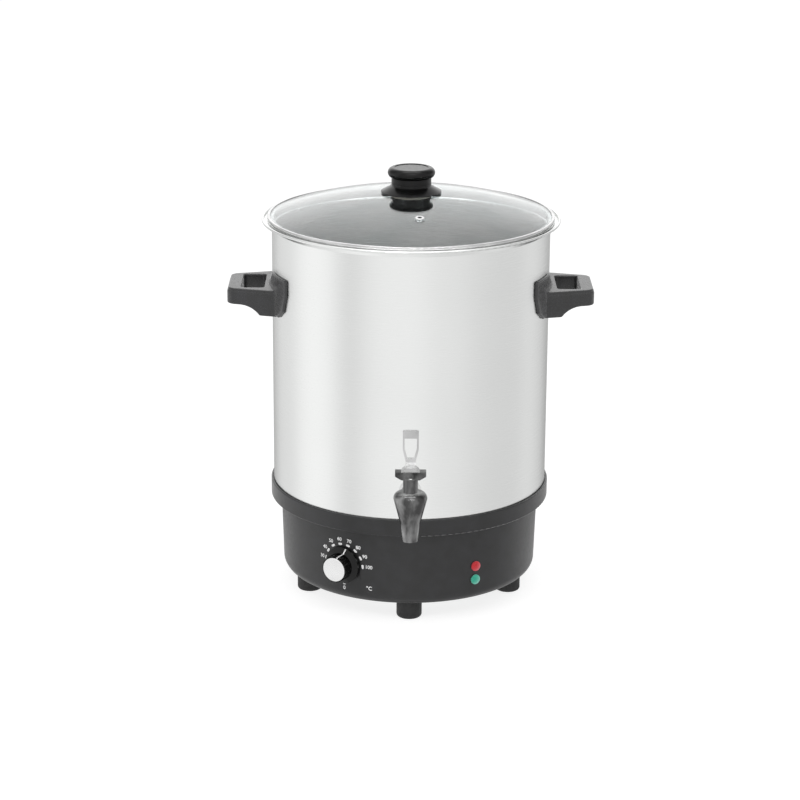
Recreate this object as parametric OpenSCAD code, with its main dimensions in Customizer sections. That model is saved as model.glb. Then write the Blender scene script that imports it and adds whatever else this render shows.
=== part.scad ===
// Electric mulled wine kettle with a glass lid, two side handles and a self-closing tap.
// Millimetres, +Z up, the floor at Z = 0, the tap towards -Y.

/* [Vessel] */
// Outer diameter of the steel vessel
vessel_d = 350; // [320:5:380]
// Thickness of the vessel's wall and floor
vessel_wall = 1; // [0.8:0.1:1.4]
// Height of the lid ledge above the collar line
vessel_show_h = 338.3; // [290:0.1:380]
// Depth of the vessel's floor below the collar line
vessel_sink = 8; // [7:0.5:10]
// Corner radius between floor and wall
vessel_corner = 5; // [3:0.5:7]
// Height of the flare under the ledge
flare_h = 6; // [4:0.5:7]
// Width of the flare under the ledge
flare_w = 4; // [3:0.5:5]
// Distance from the wall to the outside of the rim bead
rim_reach = 12.7; // [12:0.1:16]
// Diameter of the rolled rim bead
rim_bead_d = 3.2; // [2.8:0.2:4]

/* [Lid] */
// Rise of the glass dome from its edge to its top
lid_rise = 30; // [22:1:38]
// Thickness of the glass
glass_t = 4; // [3:0.5:5]
// Play between the lid's steel band and the rim bead
lid_play = 4; // [2:0.5:5]
// Sheet thickness of the lid's steel band
band_t = 1; // [0.8:0.1:1.4]
// Width of the band's top edge over the glass
band_w = 3.8; // [3.2:0.2:5]
// Depth of the band's locating flange inside the vessel
band_flange_h = 9; // [5:1:14]
// Distance of the steam vent from the centre of the lid
vent_ring_r = 106; // [80:1:130]
// Direction of the steam vent, in degrees from the front
vent_az = 5.2; // [-20:0.1:20]
// Diameter of the steam vent's hole
vent_hole_d = 5; // [3:0.5:6]
// Outer diameter of the vent's eyelet
vent_d = 12; // [11:0.5:14]

/* [Lid knob] */
// Diameter of the knob's head
knob_head_d = 59.4; // [52:0.2:66]
// Height of the knob's head
knob_head_h = 11; // [10.5:0.5:14]
// Diameter of the knob's neck
knob_neck_d = 50; // [42:1:51]
// Height of the knob's neck
knob_neck_h = 12; // [10:1:16]
// Diameter of the cone between the knob and the glass
knob_skirt_d = 76; // [66:1:90]
// Height of the cone above the top of the glass
knob_skirt_h = 8; // [6:0.5:10]
// Thickness of the washer under the glass
knob_washer_t = 4.4; // [2:0.2:6]
// Diameter of the plate under the washer
knob_plate_d = 55.4; // [50:0.2:60]
// Height of the plate under the washer
knob_plate_h = 15; // [11:0.5:18]

/* [Handles] */
// Reach of the handles from the vessel's wall
handle_reach = 55.5; // [54:0.5:60]
// Height of the grip's underside above the collar line
grip_z = 236.5; // [200:0.5:250]
// Thickness of the grip
grip_t = 20.5; // [18:0.5:24]
// Half width of the handle where it meets the vessel
handle_root_w = 56; // [54:1:60]
// Half width of the handle at its outer end
handle_end_w = 38.5; // [36:0.5:41]
// Corner radius at the outer end
handle_corner = 13; // [10:1:15]
// Depth of the root below the grip's underside
root_drop = 12.5; // [10:0.5:15]
// Width of the finger opening, along the vessel
finger_w = 67; // [62:1:69]
// Depth of the finger opening, away from the vessel
finger_d = 29; // [25:1:31]
// Distance from the wall to the finger opening
finger_gap = 9; // [8:0.5:11]
// Thickness of the saddle against the wall
saddle_t = 3.5; // [3:0.5:4.5]
// Half width of the saddle, along the vessel
saddle_w = 87.5; // [80:0.5:92]
// Height of the saddle's ears above the grip's top
saddle_ear_h = 22; // [12:1:26]

/* [Base] */
// Height of the base from its underside to the collar line
base_h = 119; // [112:1:130]
// Wall thickness of the base
base_wall = 3; // [2.5:0.5:4]
// Distance from the vessel's wall in to the base's wall
base_inset = 9.5; // [8:0.5:12]
// Inward taper of the base's wall, top to bottom
base_taper = 2.65; // [0:0.05:5]
// Radius of the base's bottom edge
base_round = 12.4; // [9:0.2:16]
// Height of the collar
collar_h = 21.5; // [18:0.5:26]
// Thickness of the collar's lip round the vessel
collar_t = 3.1; // [2.8:0.1:4]
// Radius of the service opening in the underside
hatch_r = 96; // [90:1:98]
// Radius of the plate that closes it
hatch_plate_r = 107.7; // [106:0.1:110]

/* [Feet] */
// Height of the rubber feet
foot_h = 24; // [18:1:32]
// Diameter of the feet
foot_d = 32; // [28:1:34]
// Distance of the feet from the axis
foot_ring_r = 134.5; // [128:0.5:136]

/* [Thermostat] */
// Direction of the dial, in degrees from the front
dial_az = -30.2; // [-34:0.1:-26]
// Height of the dial's centre below the collar line
dial_drop = 71.6; // [66:0.1:76]
// Diameter of the knob's skirt
dial_skirt_d = 47; // [42:1:48]
// Diameter of the knob's grip
dial_grip_d = 34; // [30:1:36]
// Height of the knob, from the wall to its front
dial_knob_h = 23.5; // [21:0.5:26]
// Diameter of the bright cap
dial_cap_d = 30.8; // [26:0.2:31]
// Number of flutes round the grip
flute_count = 14; // [10:1:18]
// Diameter of the spindle
spindle_d = 6; // [5:0.5:7]

/* [Pilot lights] */
// Direction of the pilot lights, in degrees from the front
pilot_az = 30.2; // [26:0.1:34]
// Height of the red light below the collar line
red_drop = 73; // [68:1:76]
// Height of the green light below the collar line
green_drop = 91; // [89:1:92]
// Diameter of the lights' lenses
pilot_d = 12.6; // [11:0.2:13]

/* [Tap] */
// Distance from the vessel's wall to the tap's axis
tap_reach = 40; // [36:1:48]
// Height of the tap's shank above the collar line
tap_rise = 38; // [36:1:50]
// Diameter of the tap body's shoulder
tap_shoulder_d = 41.2; // [40:0.2:44]
// Radius of the shoulder's rounding
tap_shoulder_round = 8; // [7:0.5:10]
// Diameter at the spout's mouth
tap_mouth_d = 20; // [19:0.5:22]
// Length of the spout below the shank
spout_l = 50; // [46:1:60]
// Diameter of the bonnet's neck
tap_neck_d = 18.4; // [17:0.2:18.4]
// Width of the ridged head
tap_head_w = 37.5; // [34:0.5:42]
// Depth of the ridged head
tap_head_d = 12; // [11:0.5:16]
// Height of the ridged head
tap_head_h = 10; // [9:0.5:13]
// Diameter of the threaded shank
shank_d = 18; // [17:0.5:20]
// Diameter of the waterway
waterway_d = 12; // [9:0.5:12]
// Lift of the plunger over the lever's whole travel
tap_lift = 5; // [4:0.25:5.5]
// Travel of the lever, in degrees
lever_travel = 45; // [40:1:50]
// Length of the lever above its pivot
lever_l = 45.5; // [40:0.5:55]
// Width of the lever's loop
lever_loop_w = 19.2; // [17:0.2:21]
// Width of the lever's stem
lever_stem_w = 11.8; // [10:0.2:13]

/* [Heater] */
// Radius of the aluminium heat plate
heat_plate_r = 95; // [86:1:97]
// Thickness of the heat plate
heat_plate_t = 6; // [5:0.5:8]
// Radius of the element's ring
element_ring_r = 70; // [60:1:78]
// Diameter of the element's sheath
element_d = 8; // [6.5:0.5:9]
// Gap between the element and the shield
shield_gap = 12; // [9:0.5:13]
// Radius of the heat shield
shield_r = 104; // [98:1:106]

/* [Hidden] */
$fn = 96;

// Gap between pieces that are fixed to each other, and between those that move
joint_gap = 0.1;
fit = 0.3;
// Gap under a flat flange on the base's tapered wall, and behind a flat nut inside it
seat_gap = 0.3;
back_gap = 0.9;
// Radial gap of a shaft that turns or slides in its bore
running_fit = 0.08;
// How far a cut runs past the face it opens
past = 1;
// Socket for the key in a screw's head
key_w = 4;
key_h = 2;

vessel_r = vessel_d / 2;
base_z = foot_h;
collar_z = base_z + base_h;
shelf_z = collar_z - collar_h;
floor_z = collar_z - vessel_sink;
ledge_z = collar_z + vessel_show_h;
rim_r = vessel_r + rim_reach;
bead_r = rim_bead_d / 2;
bead_ring_r = rim_r - bead_r;
bead_lift = 0.6;
bead_z = ledge_z - vessel_wall + bead_r + bead_lift;

tap_axis_r = vessel_r + tap_reach;
tap_z = collar_z + tap_rise;
// The axis stands back from the origin, which is under the middle of the whole kettle
axis_y = (tap_axis_r + tap_shoulder_d / 2 - rim_r) / 2;

// A frame whose z runs outward at this azimuth, x along the wall and y up
module outward(az, z) {
    translate([0, 0, z]) rotate([90, 0, az]) children();
}

// A place on the ring at this azimuth and radius
module on_ring(az, r) {
    rotate([0, 0, az]) translate([0, -r, 0]) children();
}

module placed() {
    translate([0, axis_y, 0]) children();
}

module ring_2d(r0, r1, z0, z1) {
    translate([r0, z0]) square([r1 - r0, z1 - z0]);
}

// A ring section with its four corners rounded by c
module rounded_ring_2d(r0, r1, z0, z1, c) {
    ring_2d(r0 + c, r1 - c, z0, z1);
    ring_2d(r0, r1, z0 + c, z1 - c);
    for (r = [r0 + c, r1 - c], z = [z0 + c, z1 - c]) translate([r, z]) circle(c);
}

// Half section of a cup whose lower edge is rounded by c
module cup_2d(r, z0, z1, c) {
    ring_2d(0, r - c, z0, z1);
    ring_2d(0, r, z0 + c, z1);
    translate([r - c, z0 + c]) circle(c);
}

module tube(r0, r1, h) {
    difference() {
        cylinder(r = r1, h = h);
        translate([0, 0, -past]) cylinder(r = r0, h = h + 2 * past);
    }
}

module hex(across, h) {
    cylinder(d = across / cos(30), h = h, $fn = 6);
}

// Swept tubes, for wires, the capillary and the spring
function unit(v) = v / norm(v);
function tangents(p) = [
    for (i = [0 : len(p) - 1]) unit(p[min(i + 1, len(p) - 1)] - p[max(i - 1, 0)])
];
function carried(t, u, i = 0, out = []) =
    i == len(t) ? out : let (v = unit(u - (u * t[i]) * t[i])) carried(t, v, i + 1, concat(out, [v]));
// The route with each inner corner rounded off by a curve that starts and ends b away
function eased(p, b, steps = 4) = concat(
    [p[0]],
    [
        for (i = [1 : len(p) - 2], k = [0 : steps])
            let (
                a = p[i] + b * unit(p[i - 1] - p[i]),
                c = p[i] + b * unit(p[i + 1] - p[i]),
                s = k / steps
            ) (1 - s) * (1 - s) * a + 2 * s * (1 - s) * p[i] + s * s * c
    ],
    [p[len(p) - 1]]
);

module sweep(path, r, sides, start) {
    t = tangents(path);
    u = carried(t, start);
    n = len(path);
    ring = [
        for (i = [0 : n - 1], k = [0 : sides - 1])
            let (w = cross(t[i], u[i]), a = 360 * k / sides)
                path[i] + r * (cos(a) * u[i] + sin(a) * w)
    ];
    side = [
        for (i = [0 : n - 2], k = [0 : sides - 1], half = [0, 1])
            let (m = (k + 1) % sides, a = i * sides, b = a + sides)
                half == 0 ? [a + k, b + k, a + m] : [a + m, b + k, b + m]
    ];
    first = [for (k = [1 : sides - 2]) [0, k, k + 1]];
    end = (n - 1) * sides;
    last = [for (k = [1 : sides - 2]) [end, end + k + 1, end + k]];
    polyhedron(ring, concat(side, first, last));
}

// Vessel

flare_z = ledge_z - flare_h;
handle_screw_az = 12.5;
handle_screw_rise = 4.5;
handle_screw_z = collar_z + grip_z + handle_screw_rise;
handle_screw_d = 5;
handle_screw_l = 18;
handle_azimuths = [
    90 - handle_screw_az, 90 + handle_screw_az, 270 - handle_screw_az, 270 + handle_screw_az,
];

module vessel_2d() {
    difference() {
        cup_2d(vessel_r, floor_z, flare_z, vessel_corner);
        cup_2d(vessel_r - vessel_wall, floor_z + vessel_wall, flare_z + past,
            vessel_corner - vessel_wall);
    }
    polygon([
        [vessel_r - vessel_wall, flare_z - vessel_wall],
        [vessel_r, flare_z - vessel_wall],
        [vessel_r + flare_w, ledge_z - vessel_wall],
        [bead_ring_r - bead_r, ledge_z - vessel_wall],
        [bead_ring_r, ledge_z],
        [vessel_r + flare_w - vessel_wall / 2, ledge_z],
        [vessel_r - vessel_wall, flare_z],
    ]);
    translate([bead_ring_r, bead_z]) circle(bead_r);
}

module vessel() placed() color("silver") difference() {
    rotate_extrude() vessel_2d();
    outward(0, tap_z) translate([0, 0, vessel_r - 4 * vessel_wall])
        cylinder(d = shank_d + 2 * fit, h = 8 * vessel_wall);
    for (az = handle_azimuths) outward(az, handle_screw_z)
        translate([0, 0, vessel_r - 4 * vessel_wall])
            cylinder(d = handle_screw_d + 2 * fit, h = 8 * vessel_wall);
}

// Hold-down screws, and the nuts welded under the vessel

tower_azimuths = [60, 180, 300];
tower_ring_r = 120;
tower_d = 13;
hold_down_d = 5;
hold_down_head_h = 4;
hold_down_grip = 40;
weld_nut_h = 8;
weld_nut_w = 11;
tower_top_z = floor_z - weld_nut_h;

module weld_nuts() placed() color("gray") for (az = tower_azimuths) on_ring(az, tower_ring_r)
    translate([0, 0, tower_top_z]) difference() {
        hex(weld_nut_w, weld_nut_h);
        translate([0, 0, -past]) cylinder(d = hold_down_d, h = weld_nut_h);
    }

module hold_down_screws() placed() color("gray") for (az = tower_azimuths)
    on_ring(az, tower_ring_r) translate([0, 0, tower_top_z - hold_down_grip]) {
        cylinder(d = hold_down_d - joint_gap, h = hold_down_grip + weld_nut_h - 2 * past);
        translate([0, 0, -hold_down_head_h]) difference() {
            cylinder(d = 1.8 * hold_down_d, h = hold_down_head_h);
            translate([0, 0, -past]) hex(key_w, key_h + past);
        }
    }

// Heater

stud_d = 8;
stud_bore = stud_d + 4 * joint_gap;
plate_z = floor_z - heat_plate_t;
groove_depth = 3;
element_r = element_d / 2;
element_z = plate_z - element_r + groove_depth;
leg_wall = 0.8;
leg_d = element_d + 2 * leg_wall;
leg_hole_gap = 2.5;
leg_l = 28;
element_gap_angle = 40;
shield_t = 1;
shield_rim_h = 8;
shield_z = element_z - element_r - shield_gap;
centre_nut_h = 6.5;
centre_nut_w = 13;
pin_d = 3.2;
pin_l = 12;
leg_azimuths = [180 - element_gap_angle / 2, 180 + element_gap_angle / 2];
cutout_ring_r = 35;
cutout_d = 16;
cutout_h = 11;
cutout_az = 90;
cutout_hole_gap = 1.5;
cutout_flange_w = 3.5;
cutout_flange_t = 1.5;
blade_x = 4;
blade_t = 0.8;
blade_w = 6.3;
blade_l = 8;

module centre_stud() placed() color("gray") translate([0, 0, shield_z - 2 * centre_nut_h])
    cylinder(d = stud_d, h = floor_z - shield_z + 2 * centre_nut_h);

module heat_plate() placed() color("lightgray") difference() {
    translate([0, 0, plate_z]) tube(stud_bore / 2, heat_plate_r, heat_plate_t);
    translate([0, 0, element_z]) rotate_extrude() translate([element_ring_r, 0])
        circle(element_r + joint_gap);
}

module heating_element() placed() color("dimgray") {
    translate([0, 0, element_z]) rotate([0, 0, 90 + element_gap_angle / 2])
        rotate_extrude(angle = 360 - element_gap_angle) translate([element_ring_r, 0])
            circle(element_r);
    for (az = leg_azimuths) on_ring(az, element_ring_r)
        translate([0, 0, plate_z - joint_gap - leg_l]) cylinder(d = leg_d, h = leg_l);
}

module element_pins() placed() color("silver") for (az = leg_azimuths)
    on_ring(az, element_ring_r) translate([0, 0, plate_z - joint_gap - leg_l - pin_l])
        cylinder(d = pin_d, h = pin_l);

module shield_spacer() placed() color("silver") translate([0, 0, shield_z + shield_t])
    tube(stud_bore / 2, stud_d, plate_z - shield_z - shield_t);

module heat_shield() placed() color("silver") difference() {
    rotate_extrude() {
        ring_2d(stud_bore / 2, shield_r, shield_z, shield_z + shield_t);
        ring_2d(shield_r - shield_t, shield_r, shield_z, shield_z + shield_rim_h);
    }
    for (az = leg_azimuths) on_ring(az, element_ring_r) translate([0, 0, shield_z - past])
        cylinder(d = leg_d + 2 * leg_hole_gap, h = shield_t + 2 * past);
    on_ring(cutout_az, cutout_ring_r) translate([0, 0, shield_z - past])
        cylinder(d = cutout_d + 2 * cutout_hole_gap, h = shield_t + 2 * past);
}

module centre_nut() placed() color("gray") translate([0, 0, shield_z - centre_nut_h])
    difference() {
        hex(centre_nut_w, centre_nut_h);
        translate([0, 0, -past]) cylinder(d = stud_d, h = centre_nut_h + 2 * past);
    }

module thermal_cutout() placed() color("black") on_ring(cutout_az, cutout_ring_r)
    translate([0, 0, plate_z - cutout_h]) {
        cylinder(d = cutout_d, h = cutout_h);
        translate([0, 0, cutout_h - cutout_flange_t])
            cylinder(d = cutout_d + 2 * cutout_flange_w, h = cutout_flange_t);
        for (side = [-1, 1]) translate([side * blade_x - blade_t / 2, -blade_w / 2, -blade_l])
            cube([blade_t, blade_w, blade_l + past]);
    }

// Thermostat

dial_z = collar_z - dial_drop;
round_z = base_z + base_round;
base_top_r = vessel_r - base_inset;
base_bottom_r = base_top_r - base_taper;
function wall_r(z) = base_bottom_r + base_taper * (z - round_z) / (shelf_z - round_z);
dial_r = wall_r(dial_z);
pad_w = 46;
pad_h = 36;
pad_depth = 7;
pad_r = dial_r - base_wall - pad_depth;
thermostat_w = 36;
thermostat_h = 30;
thermostat_l = 30;
thermostat_screw_d = 4;
thermostat_screw_x = 14;
thermostat_screw_l = 7;
thermostat_head_d = 7;
thermostat_head_h = 1.4;
bush_l = 5;
spindle_in = 4.5;
spindle_clear = 2;
spindle_reach = 16;
spindle_flat = 0.8;
skirt_gap = 2;
skirt_edge = 2.4;
skirt_bevel = 3.6;
skirt_wall = 2;
flute_r = 2.6;
flute_depth = 1.3;
cap_t = 1.4;
grip_h = dial_knob_h - cap_t - skirt_gap - skirt_edge;

module thermostat_body() placed() color("whitesmoke") outward(dial_az, dial_z) difference() {
    translate([-thermostat_w / 2, -thermostat_h / 2, pad_r - thermostat_l])
        cube([thermostat_w, thermostat_h, thermostat_l]);
    translate([0, 0, pad_r - bush_l]) cylinder(d = spindle_d + 2 * running_fit, h = bush_l + past);
    for (side = [-1, 1]) translate([side * thermostat_screw_x, 0, pad_r - thermostat_screw_l - past])
        cylinder(d = thermostat_screw_d, h = thermostat_screw_l + 2 * past);
}

module thermostat_screws() placed() color("gray") for (side = [-1, 1])
    outward(dial_az, dial_z) translate([side * thermostat_screw_x, 0, 0]) {
        translate([0, 0, pad_r - thermostat_screw_l])
            cylinder(d = thermostat_screw_d - joint_gap, h = thermostat_screw_l + dial_r - pad_r);
        translate([0, 0, dial_r]) cylinder(d = thermostat_head_d, h = thermostat_head_h);
    }

module spindle_section(d) {
    difference() {
        circle(d = d);
        translate([d / 2 - spindle_flat, -d]) square([d, 2 * d]);
    }
}

module thermostat_spindle() placed() color("silver") outward(dial_az, dial_z) {
    translate([0, 0, pad_r - spindle_in])
        cylinder(d = spindle_d, h = dial_r + skirt_gap - pad_r + spindle_in);
    translate([0, 0, dial_r + skirt_gap]) linear_extrude(spindle_reach) spindle_section(spindle_d);
}

module grip_section() {
    difference() {
        circle(d = dial_grip_d);
        for (k = [0 : flute_count - 1]) rotate((k + 0.5) * 360 / flute_count)
            translate([dial_grip_d / 2 + flute_r - flute_depth, 0]) circle(flute_r);
    }
}

module thermostat_knob() placed() color("black") outward(dial_az, dial_z)
    translate([0, 0, dial_r]) difference() {
        union() {
            rotate_extrude() difference() {
                polygon([
                    [0, skirt_gap],
                    [dial_skirt_d / 2, skirt_gap],
                    [dial_skirt_d / 2, skirt_gap + skirt_edge],
                    [dial_grip_d / 2, skirt_gap + skirt_edge + skirt_bevel],
                    [0, skirt_gap + skirt_edge + skirt_bevel],
                ]);
                ring_2d(spindle_d, dial_skirt_d / 2 - skirt_wall, 0, skirt_gap + skirt_edge);
            }
            translate([0, 0, skirt_gap + skirt_edge]) linear_extrude(grip_h) grip_section();
        }
        linear_extrude(skirt_gap + spindle_reach + joint_gap)
            spindle_section(spindle_d + 2 * joint_gap);
        translate([0, 0, dial_knob_h - 2 * cap_t]) cylinder(d = dial_cap_d, h = 2 * cap_t);
    }

module knob_cap() placed() color("white") outward(dial_az, dial_z)
    translate([0, 0, dial_r + dial_knob_h - 2 * cap_t]) rotate_extrude() {
        ring_2d(0, dial_cap_d / 2 - joint_gap, 0, 1.5 * cap_t);
        ring_2d(0, dial_cap_d / 2 - joint_gap - cap_t / 2, 0, 2 * cap_t);
        translate([dial_cap_d / 2 - joint_gap - cap_t / 2, 1.5 * cap_t]) circle(cap_t / 2);
    }

bulb_r = 3;
bulb_ring_r = 109;
bulb_z = floor_z - bulb_r - joint_gap;
bulb_x0 = -35;
bulb_l = 40;
capillary_r = 1;
capillary_bend = 5;
// Where it leaves the bulb's end, and its way down to the thermostat
capillary_x = bulb_x0 + bulb_l + 9;
capillary_z = dial_z + 8;
clip_x = 12;
clip_w = 10;
clip_t = 1.2;

module capillary() placed() color("peru") outward(dial_az, 0) {
    translate([bulb_x0, bulb_z, bulb_ring_r]) rotate([0, 90, 0]) cylinder(r = bulb_r, h = bulb_l);
    sweep(eased([
        [bulb_x0 + bulb_l - past, bulb_z, bulb_ring_r],
        [capillary_x, bulb_z, bulb_ring_r],
        [capillary_x, capillary_z, bulb_ring_r],
        [capillary_x, capillary_z, pad_r - thermostat_l],
    ], capillary_bend), capillary_r, 8, [0, 0, 1]);
}

module bulb_clip() placed() color("silver") outward(dial_az, 0) difference() {
    translate([bulb_x0 + clip_x, bulb_z - bulb_r - clip_t, bulb_ring_r - clip_w / 2])
        cube([clip_w, bulb_r + clip_t + floor_z - bulb_z, clip_w]);
    translate([bulb_x0, bulb_z, bulb_ring_r]) rotate([0, 90, 0])
        cylinder(r = bulb_r + joint_gap, h = bulb_l);
    translate([bulb_x0, bulb_z, bulb_ring_r - bulb_r]) cube([bulb_l, 2 * bulb_r, 2 * bulb_r]);
}

// Base

collar_r = vessel_r + fit + collar_t;
collar_round = 1.5;
hatch_t = 1.2;
hatch_recess = 1.5;
hatch_screw_ring_r = (hatch_r + hatch_plate_r) / 2;
hatch_screw_d = 4;
hatch_boss_d = 8;
hatch_boss_h = 10;
foot_screw_d = 4;
foot_boss_d = 11;
foot_boss_h = 14;
gland_az = 180;
gland_rise = 28;
gland_z = base_z + gland_rise;
gland_d = 16;
gland_r = wall_r(gland_z);
block_az = 112;
block_ring_r = 126;
block_size = [36, 18, 15];
block_pitch = 12;
block_way_z = 9;
block_way_d = 4;
block_screw_x = block_pitch / 2;
block_screw_d = 3;
pilot_hole_d = 10;
pilot_drops = [red_drop, green_drop];

foot_count = 5;
function foot_az(i) = i * 360 / foot_count;

// Half section of the base, drawn in from its outside by inset
module base_2d(inset) {
    polygon([
        [0, round_z],
        [base_bottom_r - inset, round_z],
        [base_top_r - inset, shelf_z],
        [base_top_r - inset, floor_z],
        [0, floor_z],
    ]);
    ring_2d(0, base_bottom_r - base_round, base_z + inset, round_z + past);
    translate([base_bottom_r - base_round, round_z]) circle(base_round - inset);
}

module base_shell_2d() {
    difference() {
        base_2d(0);
        base_2d(base_wall);
        ring_2d(0, hatch_r, base_z - past, base_z + base_wall + past);
    }
    ring_2d(base_top_r - base_wall / 2, collar_r - collar_round, shelf_z, shelf_z + base_wall);
    rounded_ring_2d(collar_r - collar_t, collar_r, shelf_z, collar_z, collar_round);
}

module base_housing() placed() color("dimgray") difference() {
    union() {
        rotate_extrude() base_shell_2d();
        for (az = tower_azimuths) on_ring(az, tower_ring_r) translate([0, 0, base_z + past])
            cylinder(d = tower_d, h = tower_top_z - base_z - past);
        for (i = [0 : foot_count - 1]) on_ring(foot_az(i), foot_ring_r)
            translate([0, 0, base_z + past]) cylinder(d = foot_boss_d, h = foot_boss_h);
        for (az = [45 : 90 : 315]) on_ring(az, hatch_screw_ring_r)
            translate([0, 0, base_z + base_wall - past]) cylinder(d = hatch_boss_d, h = hatch_boss_h);
        outward(dial_az, dial_z) translate([-pad_w / 2, -pad_h / 2, pad_r])
            cube([pad_w, pad_h, dial_r - base_wall / 2 - pad_r]);
    }
    translate([0, 0, base_z - past]) cylinder(r = hatch_plate_r + fit, h = hatch_recess + past);
    for (az = tower_azimuths) on_ring(az, tower_ring_r) translate([0, 0, base_z - past]) {
        cylinder(d = hold_down_d + 2 * fit, h = floor_z);
        cylinder(d = 1.8 * hold_down_d + 2 * fit, h = tower_top_z - hold_down_grip - base_z + past);
    }
    for (i = [0 : foot_count - 1]) on_ring(foot_az(i), foot_ring_r)
        translate([0, 0, base_z - past]) cylinder(d = foot_screw_d, h = foot_boss_h);
    for (az = [45 : 90 : 315]) on_ring(az, hatch_screw_ring_r)
        translate([0, 0, base_z - past]) cylinder(d = hatch_screw_d, h = hatch_boss_h);
    outward(dial_az, dial_z) {
        translate([0, 0, pad_r - past])
            cylinder(d = spindle_d + 2 * spindle_clear, h = dial_r - pad_r + 3 * past);
        for (side = [-1, 1]) translate([side * thermostat_screw_x, 0, pad_r - past])
            cylinder(d = thermostat_screw_d, h = dial_r - pad_r + 3 * past);
    }
    for (drop = pilot_drops) outward(pilot_az, collar_z - drop)
        translate([0, 0, wall_r(collar_z - drop) - 2 * base_wall])
            cylinder(d = pilot_hole_d, h = 3 * base_wall);
    outward(gland_az, gland_z) translate([0, 0, gland_r - 2 * base_wall])
        cylinder(d = gland_d, h = 3 * base_wall);
    for (side = [-1, 1]) on_ring(block_az, block_ring_r)
        translate([side * block_screw_x, 0, base_z + past]) cylinder(d = block_screw_d, h = base_wall);
}

vent_count = 10;
vent_slot_r = 40;
vent_slot_l = 28;
vent_slot_w = 4;
hatch_head_h = 2;

module base_plate() placed() color("lightgray") difference() {
    translate([0, 0, base_z]) cylinder(r = hatch_plate_r, h = hatch_t);
    for (az = [45 : 90 : 315]) on_ring(az, hatch_screw_ring_r)
        translate([0, 0, base_z - past])
            cylinder(d = hatch_screw_d + 2 * joint_gap, h = 3 * past + hatch_t);
    for (i = [0 : vent_count - 1]) rotate([0, 0, (i + 0.5) * 360 / vent_count])
        translate([vent_slot_r, -vent_slot_w / 2, base_z - past])
            cube([vent_slot_l, vent_slot_w, 3 * past + hatch_t]);
}

module base_plate_screws() placed() color("gray") for (az = [45 : 90 : 315])
    on_ring(az, hatch_screw_ring_r) {
        translate([0, 0, base_z]) cylinder(d = hatch_screw_d - joint_gap, h = hatch_boss_h - 2 * past);
        translate([0, 0, base_z - hatch_head_h]) cylinder(d = 1.8 * hatch_screw_d, h = hatch_head_h);
    }

// Feet

foot_round = 4;
foot_sink_d = 11;
foot_sink_h = foot_h / 2;
foot_head_h = 3;

module rubber_feet() placed() color("black") for (i = [0 : foot_count - 1])
    on_ring(foot_az(i), foot_ring_r) rotate_extrude() difference() {
        cup_2d(foot_d / 2, 0, foot_h, foot_round);
        ring_2d(-past, foot_sink_d / 2, -past, foot_sink_h);
        ring_2d(-past, foot_screw_d / 2 + fit, 0, foot_h + past);
    }

module foot_screws() placed() color("gray") for (i = [0 : foot_count - 1])
    on_ring(foot_az(i), foot_ring_r) {
        translate([0, 0, foot_sink_h]) cylinder(d = foot_screw_d - joint_gap,
            h = foot_h - foot_sink_h + foot_boss_h - 2 * past);
        translate([0, 0, foot_sink_h - foot_head_h]) cylinder(d = 2.2 * foot_screw_d, h = foot_head_h);
    }

// Handles, the right one; the left one is its mirror image

grip_top_z = collar_z + grip_z + grip_t;
grip_low_z = collar_z + grip_z;
root_low_z = grip_low_z - root_drop;
handle_end_x = vessel_r + handle_reach;
root_x = sqrt(vessel_r * vessel_r - handle_root_w * handle_root_w);
root_flat_l = 14;
root_fillet_l = 39;
root_past = 20;
root_flat_x = vessel_r + root_flat_l;
root_fillet_x = vessel_r + root_fillet_l;
finger_x = vessel_r + finger_gap;
finger_corner = 4;
seam_drop = 4;
seam_step = 1.2;
seam_z = grip_top_z - seam_drop;
saddle_r = vessel_r + saddle_t;
ear_x0 = 22;
ear_x1 = 44;
dip_h = 5;
dip_z = grip_top_z + dip_h;
ear_z = grip_top_z + saddle_ear_h;
// Steps of the saddle's outline in from its side edge and down from its ear
saddle_bevel = 2;
saddle_side_h = 20;
saddle_chin_w = 7;
saddle_chin_h = 13;
saddle_foot_w = 22;
// Slope of the handle's side, and the centre of the rounded outer corner
side_dir = unit([handle_end_x - root_x, handle_end_w - handle_root_w]);
side_out = [-side_dir[1], side_dir[0]];
corner_x = handle_end_x - handle_corner;
corner_y = (side_out * [root_x, handle_root_w] - handle_corner - side_out[0] * corner_x) / side_out[1];
// Radius of the hollow under the grip, through the end of the root's flat underside
root_fillet_r = (pow(root_fillet_x - root_flat_x, 2) + root_drop * root_drop) / (2 * root_drop);

// The handle seen from above, drawn in by inset
module handle_plan(inset) {
    c = handle_corner - inset;
    tangent = [corner_x, corner_y] + c * side_out;
    root = [root_x - root_past, handle_root_w - root_past * side_dir[1] / side_dir[0] - inset];
    polygon([
        root, tangent, [handle_end_x - inset, corner_y], [handle_end_x - inset, -corner_y],
        [tangent[0], -tangent[1]], [root[0], -root[1]],
    ]);
    for (side = [-1, 1]) translate([corner_x, side * corner_y]) circle(c);
}

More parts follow.
